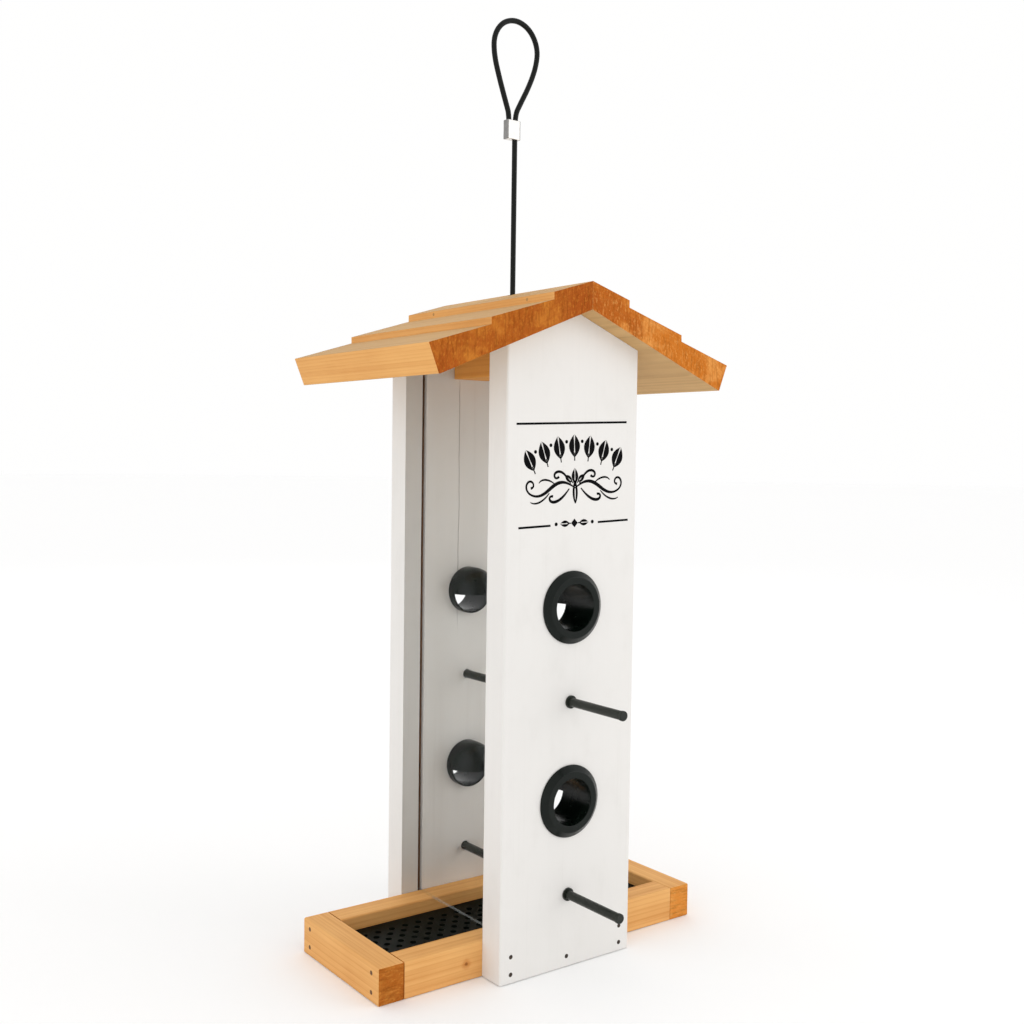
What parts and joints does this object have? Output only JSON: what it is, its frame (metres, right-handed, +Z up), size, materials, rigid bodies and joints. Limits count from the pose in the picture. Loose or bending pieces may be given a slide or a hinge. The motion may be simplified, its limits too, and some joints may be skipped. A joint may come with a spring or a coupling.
{
  "type": "hanging bird feeder",
  "caption": "Tall hanging wooden bird feeder with clear side windows, round seed ports with perches, a mesh-floored tray and a stepped gable roof on a cable loop.",
  "frame": {"origin": "centre of the flat underside that the boards and the tray share", "axes": "+X along the tray to the right seen from the front, +Y from the front board to the back board, +Z up along the hanging cable"},
  "size_m": [0.2146, 0.2002, 0.5193],
  "materials": {
    "painted_wood": "thin white paint over wood grain",
    "cedar": "bare sawn cedar",
    "clear_acrylic": "clear polished sheet",
    "port_plastic": "satin moulded plastic",
    "floor_plastic": "satin punched sheet",
    "nail_steel": "dull steel",
    "painted_steel": "painted over with the board",
    "cable_jacket": "smooth vinyl coating",
    "print_ink": "black printed ornament on the front board",
    "aluminium": "bright crimped sleeve",
    "zinc_steel": "zinc plated"
  },
  "bodies": {
    "feeder": {"back_board": "painted_wood", "board_nails_back": "nail_steel", "board_nails_front": "nail_steel", "cable": "cable_jacket", "crossbar_brads": "painted_steel", "front_board": "painted_wood", "hanger_crossbar": "cedar", "loop_ferrule": "aluminium", "perch_collars": "port_plastic", "perch_lower": "port_plastic", "perch_upper": "port_plastic", "seed_port_back_lower": "port_plastic", "seed_port_back_upper": "port_plastic", "seed_port_front_lower": "port_plastic", "seed_port_front_upper": "port_plastic", "stop_ferrule": "aluminium", "stop_washer": "zinc_steel", "tray_end_left": "cedar", "tray_end_nails_left": "nail_steel", "tray_end_nails_right": "nail_steel", "tray_end_right": "cedar", "tray_floor": "floor_plastic", "tray_rail_back": "cedar", "tray_rail_front": "cedar", "window_left": "clear_acrylic", "window_right": "clear_acrylic"},
    "roof": {"roof_brads": "nail_steel", "roof_left": "cedar", "roof_right": "cedar"}
  },
  "joints": [
    {"name": "roof_slide", "type": "slide", "parent": "feeder", "child": "roof", "axis": [0, 0, 1], "range_m": [0, 0.085]}
  ]
}
